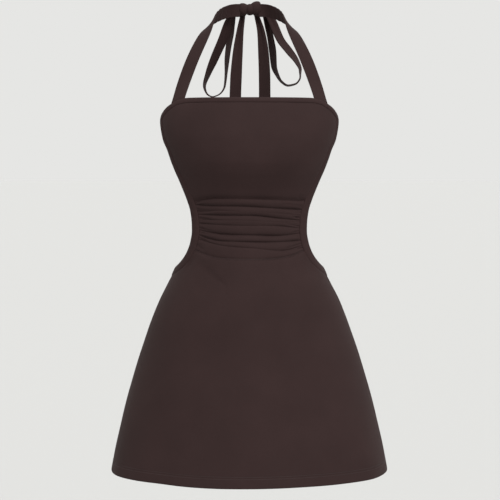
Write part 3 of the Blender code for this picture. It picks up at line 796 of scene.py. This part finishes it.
def build_bindings(material):
    """The neckline's binding, from strap to strap, and the two side bindings."""
    half = np.linspace(0, STRAP_FOOT_END - SEAM_GAP / 2, BINDING_COLUMNS)
    lengths = np.concatenate((-half[:0:-1], half))
    rows = []
    for share, stand in BINDING_SECTION:
        angle, height = inside(np.abs(lengths), edge_width(np.abs(lengths)) * share)
        rows.append(on_form(np.sign(lengths) * angle, height, BINDING_PROUD + stand))
    neck = jersey_wall(
        "neckline_binding", np.array(rows), BINDING_WALL, material, BINDING_ROUNDING,
    )
    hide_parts("neck_band")
    start = STRAP_FOOT_END + SEAM_GAP / 2
    count = int((EDGE_LENGTH - start) / BINDING_STEP)
    for name, side in (("left", -1), ("right", 1)):
        lengths = np.linspace(start, EDGE_LENGTH - SEAM_GAP / 2, count)
        if side < 0:
            lengths = lengths[::-1]
        build_side_binding(name, side, lengths, material)


def smooth_route(stations, steps):
    """Points read at even steps from smooth curves through a route's stations."""
    stations = np.array(stations)
    runs = np.linalg.norm(np.diff(stations[:, :3], axis=0), axis=1)
    lengths = np.concatenate(([0.0], np.cumsum(runs)))
    along = np.linspace(0, lengths[-1], steps + 1)
    curves = [smooth_through(lengths, stations[:, k])(along) for k in range(stations.shape[1])]
    return along, np.stack(curves, axis=-1)


def directions(route):
    """The direction of a route at each of its points."""
    return unit(np.gradient(route[:, :3], axis=0))


def build_strap(name, side, material):
    """A strap from under the neckline's binding to the knot at the nape."""
    lengths = np.linspace(STRAP_FOOT_START, STRAP_FOOT_END, STRAP_COLUMNS)
    angle, height = inside(lengths, -SEAM_GAP)
    foot = form_point(angle, height) + form_normal(angle, height) * BINDING_PROUD
    angle, height = inside(lengths, STRAP_TUCK)
    tucked = form_point(angle, height) - form_normal(angle, height) * STRAP_TUCK_DEPTH
    spread = np.linspace(-1, 1, STRAP_COLUMNS)
    base = (foot[0] + foot[-1]) / 2
    along, route = smooth_route(((*base, STRAP_FOOT_LEAN),) + STRAP_ROUTE, STRAP_STEPS)
    run = directions(route)
    lean = np.radians(route[:, 3])
    outward = np.stack((np.sin(lean), -np.cos(lean), np.zeros(len(lean))), axis=-1)
    width = unit(np.cross(run, outward)) * STRAP_WIDTH / 2
    face = unit(np.cross(width, run))
    shares = np.arange(STRAP_STEPS + 1) / STRAP_STEPS
    like_foot = np.clip(1 - shares / STRAP_FOOT_SHARE, 0, 1)[:, None, None] ** 1.5
    rows = route[:, None, :3] + width[:, None] * spread[None, :, None] * (1 - like_foot)
    rows = rows + (foot - base)[None] * like_foot
    turn = np.exp(-((along - along[-1] * WRINKLE_SHARE) / WRINKLE_REACH) ** 2)[:, None]
    wrinkle = WRINKLE_DEPTH * turn * np.sin(along[:, None] / WRINKLE_WAVE + spread[None] * WRINKLE_SKEW)
    crown = STRAP_CROWN * (1 - spread[None] ** 4) * np.ones((STRAP_STEPS + 1, 1))
    rows = rows + face[:, None] * (wrinkle + crown)[..., None]
    rows = np.concatenate((tucked[None], (tucked * 0.4 + foot * 0.6)[None], rows))
    points = place(rows * np.array((side, 1, 1)))
    if side < 0:
        points = points[:, ::-1]
    strap = jersey_wall(
        "strap_" + name + "_cloth", points[::-1], STRAP_WALL, material, STRAP_ROUNDING,
    )
    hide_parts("strap_" + name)


def ribbon(name, stations, steps, turned, material, node):
    """A ribbon of the tie along a route, pleated where it narrows into the knot."""
    along, route = smooth_route(stations, steps)
    run = directions(route)
    square = unit(np.cross(run, np.broadcast_to((0.0, 1.0, 0.0), run.shape)))
    depthwise = unit(np.cross(square, run))
    if turned:
        twist = np.radians(route[:, 3])
        across = depthwise * np.cos(twist)[:, None] + square * np.sin(twist)[:, None]
        width = route[:, 4]
    else:
        across = np.broadcast_to((1.0, 0.0, 0.0), run.shape)
        width = route[:, 3]
    face = unit(np.cross(across, run))
    spread = np.linspace(-1, 1, TIE_COLUMNS)
    taken_up = np.clip(1 - width / RIBBON_WIDTH, 0, 1)[:, None]
    pleat = TIE_PLEAT * taken_up ** 0.7 * np.cos(spread[None] * math.pi * 1.6 + 0.6)
    roll = -TIE_ROLL * spread[None] ** 2 * np.ones((len(along), 1))
    wave = TIE_WAVE * np.sin(along[:, None] / TIE_WAVE_LENGTH + spread[None])
    out = (pleat + roll + wave)[..., None]
    sideways = spread[None, :, None] * width[:, None, None] / 2
    rows = route[:, None, :3] + across[:, None] * sideways + face[:, None] * out
    piece = jersey_wall(name, place(rows), TIE_WALL, material, TIE_ROUNDING)
    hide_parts(node)


def build_knot(material):
    """The knot: wraps of cloth drawn tight over each other."""
    lump = bmesh.new()
    for x, behind, height, deep, high, half_width, half_thick, tilt in KNOT_WRAPS:
        wrap = bmesh.new()
        middle = (deep + high) / 2
        ring = bmesh.ops.create_circle(wrap, segments=24, radius=1.0, cap_ends=False)["verts"]
        for vertex in ring:
            vertex.co = Vector((vertex.co.x * half_width, 0, vertex.co.y * half_thick + middle))
        bmesh.ops.spin(
            wrap, geom=ring + wrap.edges[:], cent=(0, 0, 0), axis=(1, 0, 0), angle=2 * math.pi,
            steps=WRAP_STEPS, use_merge=True,
        )
        bmesh.ops.scale(wrap, vec=(1, deep / middle, high / middle), verts=wrap.verts)
        core = bmesh.ops.create_uvsphere(wrap, u_segments=24, v_segments=16, radius=1.0)["verts"]
        bmesh.ops.scale(wrap, vec=(half_width * 0.96, deep, high), verts=core)
        turn = Matrix.Translation(place((x, behind, height))) @ Matrix.Rotation(math.radians(tilt), 4, "Y")
        bmesh.ops.transform(wrap, matrix=turn, verts=wrap.verts)
        bmesh.ops.recalc_face_normals(wrap, faces=wrap.faces)
        part = bpy.data.meshes.new("wrap")
        wrap.to_mesh(part)
        wrap.free()
        lump.from_mesh(part)
        bpy.data.meshes.remove(part)
    mesh = bpy.data.meshes.new("nape_knot")
    lump.to_mesh(mesh)
    lump.free()
    piece = bpy.data.objects.new("nape_knot", mesh)
    bpy.context.scene.collection.objects.link(piece)
    mesh.materials.append(material)
    join = piece.modifiers.new("joined", "REMESH")
    join.mode = "VOXEL"
    join.voxel_size = KNOT_GRAIN
    join.use_smooth_shade = True
    soften = piece.modifiers.new("softened", "SMOOTH")
    soften.factor = 0.5
    soften.iterations = 3
    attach(piece, "root")
    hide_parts("bow_knot")


def build_stitches(name, turns, material):
    """The hem's rows of stitches, as one mesh."""
    thread = bmesh.new()
    for height in HEM_STITCH_HEIGHTS:
        fine = np.linspace(turns[0], turns[1], STITCH_LINE_SAMPLES)
        line = on_form(fine, height, hem_relief(np.full(STITCH_LINE_SAMPLES, height)) + STITCH_PROUD)
        lengths = np.concatenate(([0.0], np.cumsum(np.linalg.norm(np.diff(line, axis=0), axis=1))))
        count = int(lengths[-1] / STITCH_PITCH)
        middles = (np.arange(count) + 0.5) * lengths[-1] / count
        at = [np.interp(middles, lengths, line[:, k]) for k in range(3)]
        angles = np.interp(middles, lengths, fine)
        normals = form_normal(angles, np.full(count, height))
        for i in range(count):
            out = Vector(normals[i])
            along = Vector((0, 0, 1)).cross(out).normalized()
            up = out.cross(along)
            turn = Matrix((along, up, out)).transposed().to_4x4()
            size = Matrix.Diagonal((STITCH_LENGTH / 2, STITCH_HALF_WIDTH, STITCH_HALF_THICKNESS, 1))
            spot = Matrix.Translation((at[0][i], at[1][i], at[2][i]))
            lay = spot @ turn @ size
            bmesh.ops.create_uvsphere(thread, u_segments=6, v_segments=4, radius=1.0, matrix=lay)
    mesh = bpy.data.meshes.new(name)
    thread.to_mesh(mesh)
    thread.free()
    mesh.shade_smooth()
    piece = bpy.data.objects.new(name, mesh)
    bpy.context.scene.collection.objects.link(piece)
    mesh.materials.append(material)
    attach(piece, "root")


def jersey(name, colour):
    """Dark jersey with a soft nap: fine knit, faint cloudiness of the dye and a little sheen."""
    material = bpy.data.materials.new(name)
    material.use_nodes = True
    nodes = material.node_tree.nodes
    links = material.node_tree.links
    shader = nodes["Principled BSDF"]
    shader.inputs["Metallic"].default_value = 0.0
    shader.inputs["Specular IOR Level"].default_value = JERSEY_GLOSS
    shader.inputs["Sheen Weight"].default_value = JERSEY_SHEEN
    shader.inputs["Sheen Roughness"].default_value = 0.45
    shader.inputs["Sheen Tint"].default_value = (1.0, 0.86, 0.82, 1.0)

    where = nodes.new("ShaderNodeTexCoord")
    cloth = nodes.new("ShaderNodeUVMap")
    cloth.uv_map = "cloth"

    cloud = nodes.new("ShaderNodeTexNoise")
    cloud.inputs["Scale"].default_value = DYE_CLOUD_SCALE
    cloud.inputs["Detail"].default_value = 3
    links.new(where.outputs["Object"], cloud.inputs["Vector"])
    heather = nodes.new("ShaderNodeTexNoise")
    heather.inputs["Scale"].default_value = FIBRE_SCALE
    heather.inputs["Detail"].default_value = 2
    links.new(where.outputs["Object"], heather.inputs["Vector"])
    both = nodes.new("ShaderNodeMath")
    both.operation = "MULTIPLY_ADD"
    both.inputs[1].default_value = 0.5
    links.new(heather.outputs["Fac"], both.inputs[0])
    half = nodes.new("ShaderNodeMath")
    half.operation = "MULTIPLY"
    half.inputs[1].default_value = 0.5
    links.new(cloud.outputs["Fac"], half.inputs[0])
    links.new(half.outputs[0], both.inputs[2])
    tone = nodes.new("ShaderNodeValToRGB")
    tone.color_ramp.elements[0].position = 0.3
    tone.color_ramp.elements[0].color = (*[c * (1 - DYE_CHANGE) for c in colour], 1.0)
    tone.color_ramp.elements[1].position = 0.7
    tone.color_ramp.elements[1].color = (*[c * (1 + DYE_CHANGE) for c in colour], 1.0)
    links.new(both.outputs[0], tone.inputs["Fac"])
    links.new(tone.outputs["Color"], shader.inputs["Base Color"])

    rough = nodes.new("ShaderNodeMapRange")
    rough.inputs["To Min"].default_value = 0.72
    rough.inputs["To Max"].default_value = 0.90
    links.new(heather.outputs["Fac"], rough.inputs["Value"])
    links.new(rough.outputs["Result"], shader.inputs["Roughness"])

    knit = nodes.new("ShaderNodeTexWave")
    knit.wave_type = "BANDS"
    knit.bands_direction = "X"
    knit.inputs["Scale"].default_value = KNIT_SCALE
    knit.inputs["Distortion"].default_value = 1.2
    knit.inputs["Detail"].default_value = 1
    links.new(cloth.outputs["UV"], knit.inputs["Vector"])
    fuzz = nodes.new("ShaderNodeMath")
    fuzz.operation = "ADD"
    links.new(knit.outputs["Fac"], fuzz.inputs[0])
    links.new(heather.outputs["Fac"], fuzz.inputs[1])
    bump = nodes.new("ShaderNodeBump")
    bump.inputs["Strength"].default_value = 0.35
    bump.inputs["Distance"].default_value = 0.0002
    links.new(fuzz.outputs[0], bump.inputs["Height"])
    links.new(bump.outputs["Normal"], shader.inputs["Normal"])
    return material


def plain(name, colour, roughness):
    """A matt material of one colour."""
    material = bpy.data.materials.new(name)
    material.use_nodes = True
    shader = material.node_tree.nodes["Principled BSDF"]
    shader.inputs["Base Color"].default_value = colour
    shader.inputs["Roughness"].default_value = roughness
    return material


# Colours of the cloth and the thread. Against the panels, the bindings are painted a touch lighter, a painted
# highlight where their turned edges catch the light, and the straps, bow and knot a touch darker, painted
# shade.
CHOCOLATE = (0.027, 0.0155, 0.0150)
BINDING_PAINTED_HIGHLIGHT = 1.04
STRAP_PAINTED_SHADE = 0.98
THREAD_COLOUR = (0.030, 0.018, 0.017, 1.0)

# Finish of the jersey. The scales of the dye's clouds, the fibres and the knit are per metre.
JERSEY_GLOSS = 0.06
JERSEY_SHEEN = 0.03
DYE_CLOUD_SCALE = 14
FIBRE_SCALE = 700
KNIT_SCALE = 420
DYE_CHANGE = 0.14

# Camera: place, downward tilt in degrees and lens, for a picture as wide as it is high.
CAMERA_PLACE = (0.001, -2.770, -0.2407)
CAMERA_TILT = 3.603
LENS = 114.35
PALE = (0.791, 0.791, 0.776, 1.0)
FLOOR_HEIGHT = -1.45
FLOOR_SIZE = 120.0
FLOOR_TONE = (0.460, 0.460, 0.452, 1.0)

# Suns: name, degrees to the right of the front, degrees up, strength, spread in degrees.
LIGHTS = (
    ("key", 26, 40, 2.9, 40),
    ("fill", -55, 15, 0.35, 60),
    ("top", 170, 60, 0.8, 40),
)


def set_stage():
    """The pale surroundings, the floor, the lights and the camera."""
    world = bpy.data.worlds.new("studio")
    bpy.context.scene.world = world
    world.use_nodes = True
    air = world.node_tree.nodes["Background"]
    air.inputs["Color"].default_value = PALE
    air.inputs["Strength"].default_value = 1.0
    bpy.context.scene.view_settings.view_transform = "Standard"

    sheet = bmesh.new()
    bmesh.ops.create_grid(sheet, x_segments=1, y_segments=1, size=FLOOR_SIZE / 2)
    bmesh.ops.translate(sheet, vec=(0, 0, FLOOR_HEIGHT), verts=sheet.verts)
    mesh = bpy.data.meshes.new("floor")
    sheet.to_mesh(mesh)
    sheet.free()
    floor = bpy.data.objects.new("floor", mesh)
    bpy.context.scene.collection.objects.link(floor)
    mesh.materials.append(plain("pale_floor", FLOOR_TONE, 1.0))

    for name, right, up, strength, spread in LIGHTS:
        lamp = bpy.data.lights.new(name, "SUN")
        lamp.energy = strength
        lamp.angle = math.radians(spread)
        light = bpy.data.objects.new(name, lamp)
        light.rotation_euler = (math.radians(90 - up), 0, math.radians(right))
        bpy.context.scene.collection.objects.link(light)

    lens = bpy.data.cameras.new("camera")
    lens.lens = LENS
    lens.sensor_width = 36
    lens.clip_end = 300
    camera = bpy.data.objects.new("camera", lens)
    camera.location = CAMERA_PLACE
    camera.rotation_euler = (math.radians(90 - CAMERA_TILT), 0, 0)
    bpy.context.scene.collection.objects.link(camera)
    bpy.context.scene.camera = camera


panel_jersey = jersey("panel_jersey", CHOCOLATE)
# The bindings' jersey is the panels' jersey painted a touch lighter: a painted highlight of their lit turned
# edges.
binding_jersey = jersey("binding_jersey", tuple(c * BINDING_PAINTED_HIGHLIGHT for c in CHOCOLATE))
# The jersey of the straps, bow loops, tie ends and knot is the panels' jersey painted a touch darker: painted
# shade.
strap_jersey = jersey("strap_jersey", tuple(c * STRAP_PAINTED_SHADE for c in CHOCOLATE))
sewing_thread = plain("sewing_thread", THREAD_COLOUR, 0.6)

build_front(panel_jersey)
build_back(panel_jersey)
build_bindings(binding_jersey)
build_strap("left", -1, strap_jersey)
build_strap("right", 1, strap_jersey)
ribbon("bow_ribbon_left", LOOP_LEFT, LOOP_STEPS, True, strap_jersey, "bow_loop_left")
ribbon("bow_ribbon_right", LOOP_RIGHT, LOOP_STEPS, True, strap_jersey, "bow_loop_right")
ribbon("tie_tail_left", TAIL_LEFT, TAIL_STEPS, False, strap_jersey, "tie_end_left")
ribbon("tie_tail_right", TAIL_RIGHT, TAIL_STEPS, False, strap_jersey, "tie_end_right")
build_knot(strap_jersey)
build_stitches("hem_stitches_front", (-89.5, 89.5), sewing_thread)
build_stitches("hem_stitches_back", (90.5, 269.5), sewing_thread)
set_stage()
